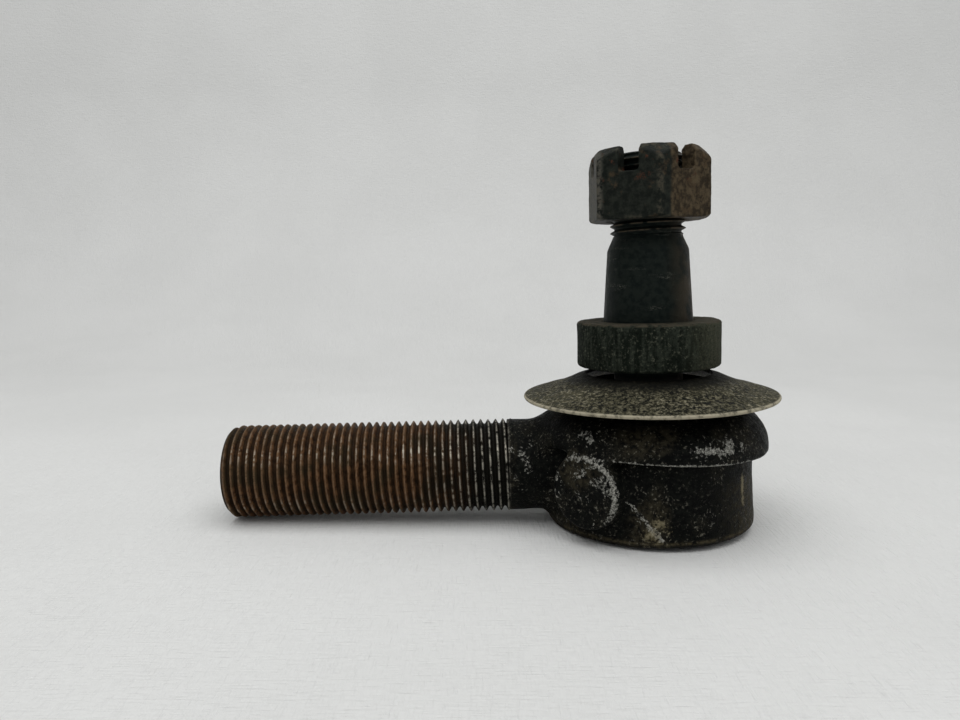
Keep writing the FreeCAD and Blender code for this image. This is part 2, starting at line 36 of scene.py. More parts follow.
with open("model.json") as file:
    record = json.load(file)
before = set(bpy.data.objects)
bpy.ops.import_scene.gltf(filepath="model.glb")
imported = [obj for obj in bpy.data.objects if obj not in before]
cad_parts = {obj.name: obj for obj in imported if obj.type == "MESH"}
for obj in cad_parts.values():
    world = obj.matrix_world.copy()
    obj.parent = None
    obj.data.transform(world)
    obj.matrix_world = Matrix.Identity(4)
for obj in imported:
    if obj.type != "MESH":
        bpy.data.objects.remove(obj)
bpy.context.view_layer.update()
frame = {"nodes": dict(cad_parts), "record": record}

MM = 0.001
MOUNTS = {mount["name"]: mount for mount in frame["record"]["mounts"]}


def node_box(name):
    """Lowest and highest corner of a CAD node, in millimetres."""
    low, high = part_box(name)
    return np.array(low) / MM, np.array(high) / MM


SOCKET_LOW, SOCKET_HIGH = node_box("housing")
COVER_LOW, COVER_HIGH = node_box("dust_cover")
RING_LOW, RING_HIGH = node_box("rubber_ring")
STUD_HIGH = node_box("ball_stud")[1]
NUT_LOW, NUT_HIGH = node_box("castle_nut")

SHANK_LEVEL = MOUNTS["shank_thread"]["pos_m"][2] / MM
SHANK_RADIUS = MOUNTS["shank_thread"]["dims"]["r_mm"]
SHANK_TIP = SOCKET_LOW[0]
SHANK_PITCH = 25.4 / 14  # 14 threads to the inch
STUD_PITCH = 25.4 / 16  # 16 threads to the inch
STUD_THREAD_FOOT = 48.1  # where the stud's thread begins
THREAD_DEPTH = 0.6134  # depth of an outside thread, as a share of the pitch
PIN_AXIS = MOUNTS["pin_hole"]["axis"]
CLOCK = math.atan2(PIN_AXIS[1], PIN_AXIS[0])  # turn of the stud and the nut

# ---------------------------------------------------------------- shapes


def waves(points, size, seed, count=14):
    """Smooth noise from -1 to 1, with lumps of about that size."""
    random = np.random.default_rng(seed)
    total = np.zeros(len(points))
    for _ in range(count):
        direction = random.normal(size=3)
        direction /= np.linalg.norm(direction)
        length = size * random.uniform(0.7, 1.6)
        total += np.sin(points @ direction * (2 * math.pi / length) + random.uniform(0, 6.28))
    return total / math.sqrt(count / 2) / 2


def smooth_min(first, second, blend):
    """Union of two distance fields with a fillet of about that radius."""
    share = np.clip(0.5 + 0.5 * (second - first) / blend, 0, 1)
    return second * (1 - share) + first * share - blend * share * (1 - share)


def smooth_max(first, second, blend):
    """What two distance fields share, with an edge rounded to about that radius."""
    return -smooth_min(-first, -second, blend)


def rounded_box(across, up, half_across, half_up, radius):
    """Distance to a rectangle with rounded corners, centred on zero."""
    a = np.abs(across) - half_across + radius
    b = np.abs(up) - half_up + radius
    return np.hypot(np.maximum(a, 0), np.maximum(b, 0)) + np.minimum(np.maximum(a, b), 0) - radius


def space(low, high, step):
    """Coordinates of a block of points."""
    sides = [np.arange(a, b + step, step, dtype=np.float32) for a, b in zip(low, high)]
    return np.meshgrid(*sides, indexing="ij")


def skin(field, low, step):
    """Corners and quads of the surface where a distance field is zero."""
    shape = np.array(field.shape)
    cells = shape - 1
    total = np.zeros((int(np.prod(cells)), 3))
    hits = np.zeros(len(total))
    quads = []
    for axis in range(3):
        first = [slice(None)] * 3
        second = [slice(None)] * 3
        first[axis] = slice(None, -1)
        second[axis] = slice(1, None)
        start = field[tuple(first)]
        end = field[tuple(second)]
        index = np.argwhere((start < 0) != (end < 0))
        a = start[tuple(index.T)]
        b = end[tuple(index.T)]
        place = index.astype(float)
        place[:, axis] += a / (a - b)
        u, v = [(axis + 1) % 3, (axis + 2) % 3]
        around = []
        for du, dv in ((-1, -1), (0, -1), (0, 0), (-1, 0)):
            cell = index.copy()
            cell[:, u] += du
            cell[:, v] += dv
            flat = np.ravel_multi_index(cell.T, cells)
            around.append(flat)
            hits += np.bincount(flat, minlength=len(hits))
            for side in range(3):
                total[:, side] += np.bincount(flat, weights=place[:, side], minlength=len(hits))
        ring = np.stack(around, axis=1)
        outward = (a < 0)[:, None]
        quads.append(np.where(outward, ring, ring[:, ::-1]))
    used = np.flatnonzero(hits)
    number = np.full(len(hits), -1)
    number[used] = np.arange(len(used))
    corners = total[used] / hits[used, None] * step + np.array(low)
    return corners, number[np.concatenate(quads)]


def grid_faces(rows, columns):
    """Quads between neighbouring rows and columns of a grid of corners."""
    index = np.arange(rows * columns).reshape(rows, columns)
    sides = (index[:-1, :-1], index[:-1, 1:], index[1:, 1:], index[1:, :-1])
    return np.stack([side.ravel() for side in sides], axis=1)


def lathe_grid(profile, segments=256):
    """Corners and quads of a profile of (radius, height) turned about the stud axis."""
    angle = np.linspace(0, 2 * math.pi, segments + 1)
    profile = np.array(profile, dtype=float)
    radius = profile[:, :1] + 0 * angle
    height = profile[:, 1:] + 0 * angle
    corners = np.stack([radius * np.cos(angle), radius * np.sin(angle), height], axis=2)
    return corners.reshape(-1, 3), grid_faces(len(profile), segments + 1)


def arc(centre, radius, start, end, steps=8):
    """Points of an arc in a profile. Angles are degrees from outwards to up."""
    turn = np.radians(np.linspace(start, end, steps))
    return [(centre[0] + radius * math.cos(a), centre[1] + radius * math.sin(a)) for a in turn]


# Depth of a worn 60 degree thread over one pitch: crest, flank, rounded root, flank.
THREAD_SHAPE = (
    (0.0, 0.0), (0.05, 0.015), (0.085, 0.08), (0.24, 0.55), (0.37, 0.93), (0.44, 1.0),
    (0.56, 1.0), (0.63, 0.93), (0.76, 0.55), (0.915, 0.08), (0.95, 0.015), (1.0, 0.0),
)


def thread_depth(phase):
    """Depth of the thread, from 0 to 1, at a place along its pitch."""
    phases, depths = zip(*THREAD_SHAPE)
    return np.interp(phase % 1.0, phases, depths)


def threaded_grid(below, above, low, high, crest, pitch, depth, shape, segments=160):
    """Corners and quads of a turned bar with a helical thread between two heights.

    Rows of the grid follow the helix and stop at the thread's two ends. shape takes
    heights and radii and gives the radii, trimmed where the thread starts and ends.
    """
    angle = np.linspace(0, 2 * math.pi, segments + 1)
    advance = pitch * angle / (2 * math.pi)
    radii = [np.full(len(angle), radius) for radius, _ in below]
    heights = [np.full(len(angle), height) for _, height in below]
    turns = int((high - low) / pitch) + 2
    for turn in range(-1, turns):
        for phase, _ in THREAD_SHAPE[:-1]:
            height = np.clip(low + (turn + phase) * pitch + advance, low, high)
            cut = thread_depth((height - low - advance) / pitch) * depth
            radii.append(shape(height, crest - cut))
            heights.append(height)
    radii += [np.full(len(angle), radius) for radius, _ in above]
    heights += [np.full(len(angle), height) for _, height in above]
    radii = np.array(radii)
    heights = np.array(heights)
    corners = np.stack([radii * np.cos(angle), radii * np.sin(angle), heights], axis=2)
    return corners.reshape(-1, 3), grid_faces(len(radii), len(angle))


def corner_normals(mesh):
    """The normal at each corner of a mesh."""
    normals = np.empty(len(mesh.vertices) * 3, dtype=np.float32)
    mesh.vertex_normals.foreach_get("vector", normals)
    return normals.reshape(-1, 3)


def make_piece(name, parts, body, replaced, material, sharp=35, rough=None):
    """A mesh object from one or more sets of corners and faces, in millimetres.

    rough takes the corners and gives how far each moves out along its normal.
    """
    mesh = bpy.data.meshes.new(name)
    corners = []
    faces = []
    for part_corners, part_faces in parts:
        faces += (np.array(part_faces) + sum(len(c) for c in corners)).tolist()
        corners.append(part_corners)
    mesh.from_pydata(np.concatenate(corners).tolist(), [], faces)
    work = bmesh.new()
    work.from_mesh(mesh)
    bmesh.ops.remove_doubles(work, verts=work.verts, dist=0.002)
    bmesh.ops.dissolve_degenerate(work, dist=0.0005, edges=work.edges)
    bmesh.ops.recalc_face_normals(work, faces=work.faces)
    work.to_mesh(mesh)
    work.free()
    points = np.empty(len(mesh.vertices) * 3, dtype=np.float32)
    mesh.vertices.foreach_get("co", points)
    points = points.reshape(-1, 3)
    if rough is not None:
        points = points + corner_normals(mesh) * rough(points)[:, None]
    mesh.vertices.foreach_set("co", (points * MM).ravel())
    mesh.update()
    mesh.shade_smooth()
    mesh.set_sharp_from_angle(angle=math.radians(sharp))
    mesh.materials.append(material)
    piece = bpy.data.objects.new(name, mesh)
    bpy.context.scene.collection.objects.link(piece)
    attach(piece, body)
    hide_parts(replaced)
    return piece


def mark(piece, name, values):
    """Store one number for each corner, for a material to read."""
    layer = piece.data.attributes.new(name, "FLOAT", "POINT")
    layer.data.foreach_set("value", np.clip(values, 0, 1).astype(np.float32))


def points_of(piece):
    """The corners of a piece, in millimetres."""
    points = np.empty(len(piece.data.vertices) * 3, dtype=np.float32)
    piece.data.vertices.foreach_get("co", points)
    return points.reshape(-1, 3) / MM


def step_up(values, low, high):
    """0 below low, 1 above high, smooth between."""
    part = np.clip((values - low) / (high - low), 0, 1)
    return part * part * (3 - 2 * part)


def near(values, middle, width):
    """1 at the middle, fading to 0 at that distance from it."""
    return np.clip(1 - np.abs(values - middle) / width, 0, 1)


# ---------------------------------------------------------------- materials


class Look:
    """A material, with short calls that add its nodes. Sizes are millimetres."""

    def __init__(self, name):
        self.material = bpy.data.materials.new(name)
        self.material.use_nodes = True
        self.tree = self.material.node_tree
        self.tree.nodes.clear()
        self.output = self.add("OutputMaterial")
        self.shader = self.add("BsdfPrincipled")
        self.join(self.shader.outputs[0], self.output.inputs["Surface"])
        coordinates = self.add("TexCoord").outputs["Object"]
        scale = self.add("VectorMath", operation="SCALE")
        self.join(coordinates, scale.inputs[0])
        scale.inputs["Scale"].default_value = 1 / MM
        self.place = scale.outputs[0]

    def add(self, kind, **settings):
        node = self.tree.nodes.new(f"ShaderNode{kind}")
        for key, value in settings.items():
            setattr(node, key, value)
        return node

    def join(self, source, target):
        self.tree.links.new(source, target)

    def feed(self, socket, value):
        if isinstance(value, bpy.types.NodeSocket):
            self.join(value, socket)
        elif isinstance(value, (tuple, list)):
            socket.default_value = (*value, 1.0) if len(value) == 3 and socket.type == "RGBA" else value
        else:
            socket.default_value = value

    def math(self, operation, first, second=0.0, clamp=False):
        node = self.add("Math", operation=operation, use_clamp=clamp)
        self.feed(node.inputs[0], first)
        self.feed(node.inputs[1], second)
        return node.outputs[0]

    def noise(self, size, detail=4.0, roughness=0.55, stretch=(1, 1, 1), shift=0.0):
        """Noise from about 0.25 to 0.75 with lumps of that size."""
        node = self.add("TexNoise")
        move = self.add("Mapping")
        self.join(self.place, move.inputs["Vector"])
        move.inputs["Scale"].default_value = stretch
        move.inputs["Location"].default_value = (shift, shift * 0.7, -shift)
        self.join(move.outputs[0], node.inputs["Vector"])
        node.inputs["Scale"].default_value = 1.0 / size
        node.inputs["Detail"].default_value = detail
        node.inputs["Roughness"].default_value = roughness
        return node.outputs["Fac"]

    def ramp(self, value, low, high, start=0.0, end=1.0):
        """start where the value is below low, end above high, smooth between."""
        node = self.add("MapRange", interpolation_type="SMOOTHSTEP")
        self.feed(node.inputs["Value"], value)
        node.inputs["From Min"].default_value = low
        node.inputs["From Max"].default_value = high
        node.inputs["To Min"].default_value = start
        node.inputs["To Max"].default_value = end
        return node.outputs[0]

    def both(self, *masks):
        """Where every one of the masks is."""
        total = masks[0]
        for item in masks[1:]:
            total = self.math("MULTIPLY", total, item)
        return total

    def any(self, *masks):
        """Where at least one of the masks is."""
        total = masks[0]
        for item in masks[1:]:
            total = self.math("MAXIMUM", total, item)
        return total

    def marked(self, name):
        """A number that mark() stored on the piece."""
        return self.add("Attribute", attribute_name=name).outputs["Fac"]

    def mix(self, first, second, factor):
        node = self.add("Mix", data_type="RGBA")
        self.feed(node.inputs[0], factor)
        self.feed(node.inputs[6], first)
        self.feed(node.inputs[7], second)
        return node.outputs[2]

    def position(self, axis):
        split = self.add("SeparateXYZ")
        self.join(self.place, split.inputs[0])
        return split.outputs[axis]

    def radius(self, first, second, first_middle=0.0, second_middle=0.0):
        """Distance from a line along the third axis."""
        a = self.math("SUBTRACT", self.position(first), first_middle)
        b = self.math("SUBTRACT", self.position(second), second_middle)
        total = self.math("ADD", self.math("MULTIPLY", a, a), self.math("MULTIPLY", b, b))
        return self.math("SQRT", total)

    def finish(self, colour, roughness, metallic=0.0, height=None, depth=0.1, gloss=0.25):
        self.feed(self.shader.inputs["Base Color"], colour)
        self.feed(self.shader.inputs["Roughness"], roughness)
        self.feed(self.shader.inputs["Metallic"], metallic)
        self.shader.inputs["Specular IOR Level"].default_value = gloss
        if height is not None:
            bump = self.add("Bump")
            bump.inputs["Distance"].default_value = depth * MM
            self.feed(bump.inputs["Height"], height)
            self.join(bump.outputs[0], self.shader.inputs["Normal"])
        return self.material


def housing_look():
    """Worn black paint on the forging, turning to rusty bare thread along the shank, with painted shade in
    the thread's roots and painted glints on its crests.
    """
    look = Look("forging")
    along = look.position("X")
    shank_radius = look.radius("Y", "Z", 0.0, SHANK_LEVEL)
    fine = look.noise(0.35, detail=6)
    small = look.noise(1.2, detail=6, roughness=0.65)
    broad = look.noise(7.0, detail=5, shift=13)

    paint = look.mix((0.0010, 0.0013, 0.0011), (0.0060, 0.0068, 0.0055), look.ramp(small, 0.42, 0.64))
    thin = look.both(look.ramp(broad, 0.50, 0.64), look.ramp(fine, 0.42, 0.6))
    paint = look.mix(paint, (0.015, 0.014, 0.010), thin)
    flecks = look.noise(0.7, detail=5, roughness=0.7, shift=5)
    grit = look.both(look.ramp(flecks, 0.57, 0.63), look.ramp(broad, 0.40, 0.60, 0.2, 1.0))
    paint = look.mix(paint, (0.115, 0.11, 0.088), grit)

    dusty = look.math("MULTIPLY", look.marked("dusty"), look.ramp(small, 0.36, 0.62), clamp=True)
    paint = look.mix(paint, (0.105, 0.086, 0.050), dusty)
    ragged = look.math("MULTIPLY", look.math("SUBTRACT", flecks, 0.5), 2.6)
    worn_edge = look.math("ADD", look.marked("worn"), ragged)
    worn = look.both(look.ramp(worn_edge, 0.42, 0.66), look.ramp(look.marked("worn"), 0.02, 0.2))
    metal = look.mix((0.12, 0.12, 0.105), (0.36, 0.355, 0.32), look.ramp(fine, 0.42, 0.62))
    paint = look.mix(paint, metal, worn)
    olive_edge = look.math("ADD", look.marked("olive"), ragged)
    olive_worn = look.both(look.marked("olive"), look.ramp(olive_edge, 0.3, 0.6))
    olive_dust = look.mix((0.12, 0.10, 0.055), (0.27, 0.235, 0.145), look.ramp(small, 0.4, 0.6))
    paint = look.mix(paint, olive_dust, olive_worn)

    crest = look.ramp(shank_radius, SHANK_RADIUS - 0.42, SHANK_RADIUS - 0.02)
    rust = look.mix((0.034, 0.0150, 0.0062), (0.140, 0.072, 0.034), look.ramp(small, 0.38, 0.62))
    rust = look.mix(rust, (0.048, 0.033, 0.017), look.ramp(broad, 0.45, 0.62))
    # painted shade: the thread's roots are darkened by their depth, and rust carries this shade from here on
    valley = look.ramp(shank_radius, SHANK_RADIUS - 0.45, SHANK_RADIUS - 0.95)
    rust = look.mix(rust, (0.0085, 0.0050, 0.0026), look.math("MULTIPLY", valley, 0.8))
    rust = look.mix(rust, (0.175, 0.108, 0.062), look.both(crest, look.ramp(fine, 0.35, 0.6, 0.15, 0.9)))
    silver = look.both(crest, look.ramp(small, 0.44, 0.56))
    bare = look.mix((0.0060, 0.0056, 0.0042), (0.30, 0.285, 0.24), silver)
    olive = look.ramp(look.math("ADD", along, look.math("MULTIPLY", broad, 14.0)), -52.0, -32.0)
    rust = look.mix(rust, bare, olive)
    # painted highlight: bright glints on the bare crests, only in the rubbed bands round the shank
    sparks = look.noise(1.1, detail=4, shift=31)
    glint = look.both(crest, look.marked("rubbed"), look.ramp(sparks, 0.46, 0.54))
    rust = look.mix(rust, (0.60, 0.56, 0.46), glint)

    threaded = look.ramp(look.math("ADD", along, look.math("MULTIPLY", small, 0.8)), -33.0, -33.6)
    colour = look.mix(paint, rust, threaded)
    bright = look.both(threaded, look.any(glint, look.both(olive, silver)))
    shiny = look.any(bright, look.both(worn, look.ramp(fine, 0.45, 0.7, 0.2, 0.8)))
    roughness = look.ramp(small, 0.35, 0.7, 0.40, 0.70)
    roughness = look.math("SUBTRACT", roughness, look.math("MULTIPLY", shiny, 0.10))
    height = look.math("ADD", look.math("MULTIPLY", flecks, 1.0), look.math("MULTIPLY", fine, 0.4))
    return look.finish(colour, roughness, look.math("MULTIPLY", shiny, 0.55), height, 0.26, gloss=0.05)


def stud_look():
    """Dark oxidised steel, browner on one side, with fine scratches round it."""
    look = Look("stud_steel")
    fine = look.noise(0.3, detail=6)
    small = look.noise(1.4, detail=6, roughness=0.6)
    rings = look.noise(3.0, detail=6, stretch=(0.3, 0.3, 2.2), shift=7)
    colour = look.mix((0.0040, 0.0070, 0.0062), (0.0125, 0.0165, 0.0140), look.ramp(small, 0.36, 0.64))
    brown = look.both(look.ramp(look.position("X"), 1.5, 8.5), look.ramp(look.noise(5, shift=3), 0.32, 0.55))
    colour = look.mix(colour, (0.040, 0.033, 0.023), brown)
    scratched = look.both(look.ramp(rings, 0.56, 0.72), look.ramp(fine, 0.47, 0.62))
    colour = look.mix(colour, (0.060, 0.062, 0.052), scratched)
    crest = look.both(
        look.ramp(look.radius("X", "Y"), 8.25, 8.6),
        look.ramp(look.position("Z"), 47.9, 48.2),
    )
    colour = look.mix(colour, (0.075, 0.062, 0.044), look.both(crest, look.ramp(small, 0.4, 0.6)))
    inside = look.ramp(look.position("Z"), 16.0, 12.0)
    colour = look.mix(colour, (0.30, 0.29, 0.27), inside)
    metallic = look.ramp(small, 0.3, 0.7, 0.15, 0.45)
    height = look.math("ADD", small, look.math("MULTIPLY", rings, 0.6))
    return look.finish(colour, look.ramp(small, 0.3, 0.7, 0.42, 0.64), metallic, height, 0.12, gloss=0.07)


def nut_look():
    """Dark green-black steel, rusty on its right-hand face, with stains and bare corners."""
    look = Look("nut_steel")
    fine = look.noise(0.35, detail=6)
    small = look.noise(1.5, detail=6, roughness=0.65)
    broad = look.noise(6.5, detail=4, shift=21)
    colour = look.mix((0.0055, 0.0075, 0.0058), (0.019, 0.022, 0.017), look.ramp(small, 0.38, 0.64))
    rusty = look.math("ADD", look.ramp(look.position("X"), 0.5, 4.0), look.math("SUBTRACT", broad, 0.5))
    rust = look.mix((0.026, 0.019, 0.011), (0.088, 0.066, 0.039), look.ramp(small, 0.40, 0.62))
    colour = look.mix(colour, rust, look.ramp(rusty, 0.3, 0.7))
    stain = look.both(look.ramp(look.noise(3.2, detail=4, shift=60), 0.56, 0.64), look.ramp(small, 0.36, 0.6))
    colour = look.mix(colour, (0.060, 0.040, 0.022), look.math("MULTIPLY", stain, 0.7))
    pale = look.both(look.ramp(look.position("X"), -11.2, -12.3), look.ramp(small, 0.38, 0.56))
    colour = look.mix(colour, (0.080, 0.077, 0.064), pale)
    wear = look.both(look.marked("worn"), look.ramp(small, 0.47, 0.64, 0.0, 0.55))
    colour = look.mix(colour, (0.085, 0.074, 0.054), wear)
    red = look.both(look.ramp(look.noise(2.4, shift=44), 0.60, 0.68), look.ramp(fine, 0.40, 0.55))
    red = look.both(red, look.ramp(look.position("Z"), NUT_HIGH[2] - 9.0, NUT_HIGH[2] - 6.0))
    colour = look.mix(colour, (0.070, 0.027, 0.015), red)
    height = look.math("ADD", small, look.math("MULTIPLY", fine, 0.5))
    metallic = look.ramp(fine, 0.3, 0.7, 0.05, 0.3)
    return look.finish(colour, look.ramp(small, 0.3, 0.7, 0.46, 0.72), metallic, height, 0.2, gloss=0.1)


def ring_look():
    """Old rubber, greenish black, with dust in its pores."""
    look = Look("ring_rubber")
    fine = look.noise(0.4, detail=6, roughness=0.7)
    small = look.noise(1.6, detail=5)
    streaks = look.noise(1.5, detail=5, stretch=(1.5, 1.5, 0.25), shift=9)
    pores = look.noise(0.7, detail=5, roughness=0.8, shift=2)
    colour = look.mix((0.0065, 0.0095, 0.0065), (0.022, 0.027, 0.020), look.ramp(streaks, 0.40, 0.62))
    dust = look.both(look.ramp(pores, 0.54, 0.64), look.ramp(small, 0.36, 0.58, 0.35, 1.0))
    colour = look.mix(colour, (0.078, 0.081, 0.060), dust)
    colour = look.mix(colour, (0.0030, 0.0040, 0.0030), look.ramp(pores, 0.46, 0.38))
    sunlit = look.both(look.ramp(look.position("X"), 3.0, 14.0), look.ramp(fine, 0.36, 0.58))
    colour = look.mix(colour, (0.070, 0.071, 0.047), look.math("MULTIPLY", sunlit, 0.75))
    top = look.ramp(look.position("Z"), RING_HIGH[2] - 0.7, RING_HIGH[2] - 0.2)
    colour = look.mix(colour, (0.050, 0.043, 0.030), look.both(top, look.ramp(small, 0.34, 0.58)))
    height = look.math("ADD", look.math("MULTIPLY", small, 0.5), look.math("MULTIPLY", pores, 0.9))
    return look.finish(colour, look.ramp(fine, 0.3, 0.7, 0.70, 0.90), 0.0, height, 0.24, gloss=0.05)


def cover_look():
    """Sheet steel under gritty khaki dust, with darker patches and a bare edge."""
    look = Look("cover_steel")
    grain = look.noise(0.8, detail=5, roughness=0.8)
    small = look.noise(1.5, detail=6, roughness=0.65)
    broad = look.noise(9.0, detail=4, shift=17)
    across = look.radius("X", "Y")
    colour = look.mix((0.022, 0.022, 0.013), (0.080, 0.074, 0.045), look.ramp(small, 0.36, 0.64))
    # the grains grow darker towards the front middle of the cover
    front = look.radius("X", "Y", 2.0, -24.0)
    front_darker = look.ramp(look.math("ADD", front, look.math("MULTIPLY", broad, 14.0)), 19.0, 11.0)
    pale = look.both(look.ramp(grain, 0.53, 0.60), look.ramp(broad, 0.36, 0.58, 0.4, 1.0))
    colour = look.mix(colour, (0.24, 0.22, 0.155), pale)
    darker = look.any(look.ramp(broad, 0.60, 0.44, 0.3, 1.0), front_darker)
    dark = look.both(look.ramp(grain, 0.52, 0.44), darker)
    colour = look.mix(colour, (0.0030, 0.0033, 0.0026), dark)
    shade = look.ramp(across, 22.0, 17.0)
    colour = look.mix(colour, (0.0020, 0.0022, 0.0018), look.math("MULTIPLY", shade, 0.93))
    edge = look.ramp(across, COVER_HIGH[0] - 0.55, COVER_HIGH[0] - 0.12)
    colour = look.mix(colour, (0.40, 0.365, 0.27), look.both(edge, look.ramp(small, 0.36, 0.56, 0.3, 0.95)))
    height = look.math("ADD", grain, look.math("MULTIPLY", small, 1.2))
    metallic = look.ramp(grain, 0.45, 0.8, 0.0, 0.25)
    return look.finish(colour, look.ramp(small, 0.3, 0.7, 0.55, 0.80), metallic, height, 0.2, gloss=0.08)


def bright_steel_look(name, dark, light, size):
    """Ground or rolled steel with a film of grease, for the pieces inside."""
    look = Look(name)
    fine = look.noise(size, detail=6)
    film = look.noise(size * 8, detail=4, shift=4)
    colour = look.mix(dark, light, look.ramp(fine, 0.35, 0.65))
    colour = look.mix(colour, (0.045, 0.035, 0.020), look.ramp(film, 0.5, 0.68, 0.0, 0.8))
    roughness = look.ramp(film, 0.3, 0.7, 0.25, 0.5)
    metallic = look.ramp(film, 0.3, 0.7, 0.95, 0.6)
    return look.finish(colour, roughness, metallic, fine, 0.03)


def floor_look():
    """Pale cloth with a faint weave."""
    look = Look("floor_cloth")
    broad = look.noise(90, detail=3)
    threads = look.noise(1.2, detail=2, stretch=(0.25, 2.2, 1.0))
    across = look.noise(1.2, detail=2, stretch=(2.2, 0.25, 1.0), shift=8)
    colour = look.mix((0.690, 0.695, 0.685), (0.715, 0.720, 0.710), look.ramp(broad, 0.35, 0.65))
    height = look.math("ADD", threads, across)
    return look.finish(colour, look.ramp(broad, 0.3, 0.7, 0.88, 0.96), 0.0, height, 0.30)


# ---------------------------------------------------------------- pieces

FLANGE_CENTRE = (18.19, -0.26)
FLANGE_ROUND = 9.0
FLANGE_RADIUS = SOCKET_HIGH[0]
DOME_RADIUS = 20.2
MOUTH_RADIUS = 14.3
MOUTH_LEVEL = 14.3  # where the flared mouth has that radius
MOUTH_FLARE = 0.36
BORE_RADIUS = 18.7
POCKET_RADIUS = 17.0
BORE_TOP = 4.0
BASE = SOCKET_LOW[2]
BARREL_TOP_RADIUS = 23.65
BARREL_FOOT_RADIUS = 24.3
NECK_RADIUS = 10.85
NECK_START = 15.0  # along -X, inside the barrel
NECK_END = 34.0
SHANK_START = 31.0  # along -X, inside the neck
SHANK_CHAMFER = 1.15
PAD_RADIUS = 8.3
PAD_REACH = 28.2
PAD_LEVEL = -6.7
PAD_TURN = math.radians(41.0)
PAD_AXIS = (-math.sin(PAD_TURN), -math.cos(PAD_TURN))
LIP = 0.9
LIP_RADIUS = 17.8
PLATE_RADIUS = 19.6
PLATE_TOP = -16.4


def flange_foot(x):
    """Height of the flange's underside, which slopes a little on the forging."""
    return -0.15 - 0.055 * x


def pad_coordinates(x, y, z):
    """Reach along the pad's axis, distance to its side, and distance from it."""
    reach = x * PAD_AXIS[0] + y * PAD_AXIS[1]
    side = x * PAD_AXIS[1] - y * PAD_AXIS[0]
    return reach, side, np.hypot(side, z - PAD_LEVEL)


def socket_field(x, y, z):
    """Distance to the forged socket, the plain neck and the round pad."""
    radius = np.hypot(x, y)
    up = z - BASE
    barrel_radius = BARREL_FOOT_RADIUS + (BARREL_TOP_RADIUS - BARREL_FOOT_RADIUS) * np.clip(up / 12, 0, 1)
    middle = BASE / 2
    barrel = rounded_box(radius, z - middle, barrel_radius, -middle, 1.4)
    flange_across = radius - FLANGE_CENTRE[0]
    flange_up = z - FLANGE_CENTRE[1]
    flange = np.hypot(np.maximum(flange_across, 0), np.maximum(flange_up, 0)) - FLANGE_ROUND
    flange = smooth_max(flange, flange_foot(x) - z, 0.9)
    solid = smooth_min(barrel, flange, 0.5)
    dome = np.sqrt(radius * radius + z * z) - DOME_RADIUS
    dome = np.maximum(dome, -z - 1.0)
    solid = smooth_min(solid, dome, 1.3)
    neck = np.hypot(y, z - SHANK_LEVEL) - NECK_RADIUS
    neck = np.maximum(neck, np.maximum(x + NECK_START, -x - NECK_END))
    solid = smooth_min(solid, neck, 3.4)
    reach, _, off = pad_coordinates(x, y, z)
    pad = rounded_box(off, reach - PAD_REACH / 2 - 4, PAD_RADIUS, PAD_REACH / 2 - 4, 1.1)
    solid = smooth_min(solid, pad, 2.2)
    seam = np.hypot(radius - BARREL_FOOT_RADIUS - 0.2, z - BASE - 1.5) - 0.4
    solid = smooth_max(solid, -seam, 0.15)

    cavity = np.maximum(radius - BORE_RADIUS, z - BORE_TOP)
    pocket = np.maximum(np.sqrt(radius * radius + z * z) - POCKET_RADIUS, BORE_TOP - 0.5 - z)
    mouth = np.maximum(radius - (MOUTH_RADIUS + (z - MOUTH_LEVEL) * MOUTH_FLARE), 9.0 - z)
    cavity = np.maximum(cavity, BASE + LIP - z)
    seat = np.maximum(radius - PLATE_RADIUS, np.maximum(BASE + LIP - z, z - PLATE_TOP))
    lip = np.maximum(radius - LIP_RADIUS, z - BASE - LIP - 0.5)
    hollow = np.minimum(np.minimum(cavity, pocket), np.minimum(np.minimum(mouth, seat), lip))
    solid = smooth_max(solid, -hollow, 0.25)
    top = z - SOCKET_HIGH[2] + 0.05
    return smooth_max(solid, top, 0.3)


def shank_parts():
    """The threaded bar, built upright and then laid along -X."""
    length = -SHANK_TIP - SHANK_START
    end = length - 1.6
    depth = THREAD_DEPTH * SHANK_PITCH

    def shape(height, radius):
        radius = np.minimum(radius, SHANK_RADIUS - SHANK_CHAMFER + height)
        runout = step_up(height, end - 0.35 * SHANK_PITCH, end)
        return radius * (1 - runout) + NECK_RADIUS * runout

    below = [(0.0, 0.0), (SHANK_RADIUS * 0.5, 0.0), (SHANK_RADIUS - 1.6, 0.0)]
    below.append((SHANK_RADIUS - SHANK_CHAMFER, 0.05))
    above = [(NECK_RADIUS - 0.02, end + 0.05), (NECK_RADIUS - 0.4, length), (0.0, length)]
    corners, faces = threaded_grid(
        below, above, 0.1, end, SHANK_RADIUS - 0.02, SHANK_PITCH, depth, shape, segments=192
    )
    laid = np.stack([
        SHANK_TIP + corners[:, 2],
        corners[:, 0],
        SHANK_LEVEL + corners[:, 1],
    ], axis=1)
    return laid, faces


def housing_roughness(points):
    """Forging lumps on the socket, dents and nicks on the thread's crests."""
    x, y, z = points.T
    on_shank = step_up(-x, 29.0, 33.0)
    lumps = 0.07 * waves(points, 9.0, 3) + 0.035 * waves(points, 2.6, 4)
    inside = np.hypot(x, y) < BORE_RADIUS + 1.5
    radius = np.hypot(y, z - SHANK_LEVEL)
    crest = step_up(radius, SHANK_RADIUS - 0.5, SHANK_RADIUS - 0.1)
    nicks = 0.09 * np.maximum(waves(points, 1.5, 8), 0) + 0.05 * np.maximum(waves(points, 5.0, 9), 0)
    return np.where(inside, 0.0, (1 - on_shank) * (lumps - 0.06) - on_shank * crest * nicks)


